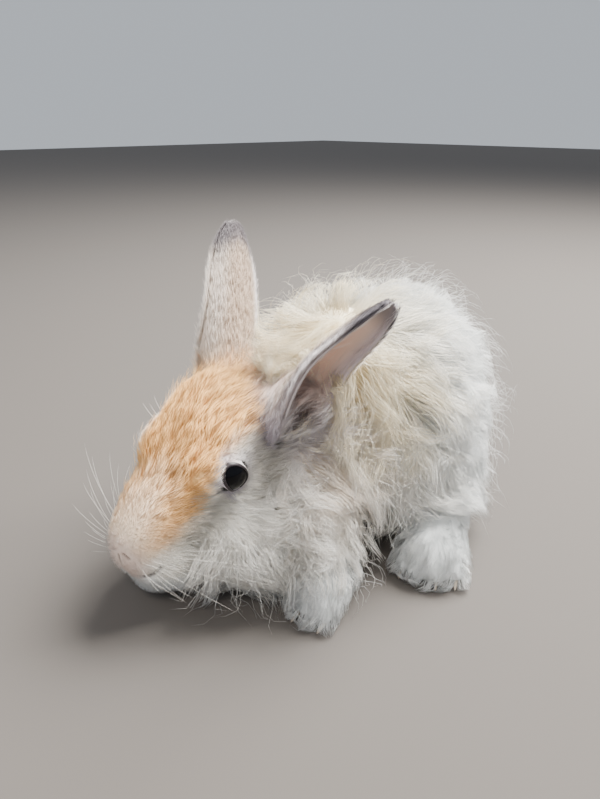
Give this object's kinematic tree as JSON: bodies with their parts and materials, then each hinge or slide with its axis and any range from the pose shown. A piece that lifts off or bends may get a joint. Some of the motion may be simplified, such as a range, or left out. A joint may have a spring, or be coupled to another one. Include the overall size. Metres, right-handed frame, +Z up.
{
  "type": "angora rabbit",
  "caption": "Life-size still model of a young long-haired rabbit crouching with its head low, one ear upright and one laid out sideways, wool in overlapping locks.",
  "frame": {"origin": "on the floor, under the middle of the model's outline", "axes": "-Y is the way the rabbit's body faces, +X its left, +Z up from the floor"},
  "size_m": [0.1178, 0.1876, 0.1314],
  "materials": {
    "white_wool": "soft matt wool",
    "fawn_fur": "short matt fur",
    "eye": "polished dark",
    "ear_fur": "thin short fur"
  },
  "bodies": {
    "root": {"head": "fawn_fur", "eye_left": "eye", "eye_right": "eye", "ear_left": "ear_fur", "ear_right": "ear_fur", "forefoot_left": "white_wool", "hindfoot_left": "white_wool", "forefoot_right": "white_wool", "hindfoot_right": "white_wool", "foreleg_left": "white_wool", "foreleg_right": "white_wool", "thigh_left": "white_wool", "thigh_right": "white_wool", "tail": "white_wool", "neck": "white_wool", "chest": "white_wool", "torso_front": "white_wool", "torso_rear": "white_wool"}
  },
  "joints": []
}
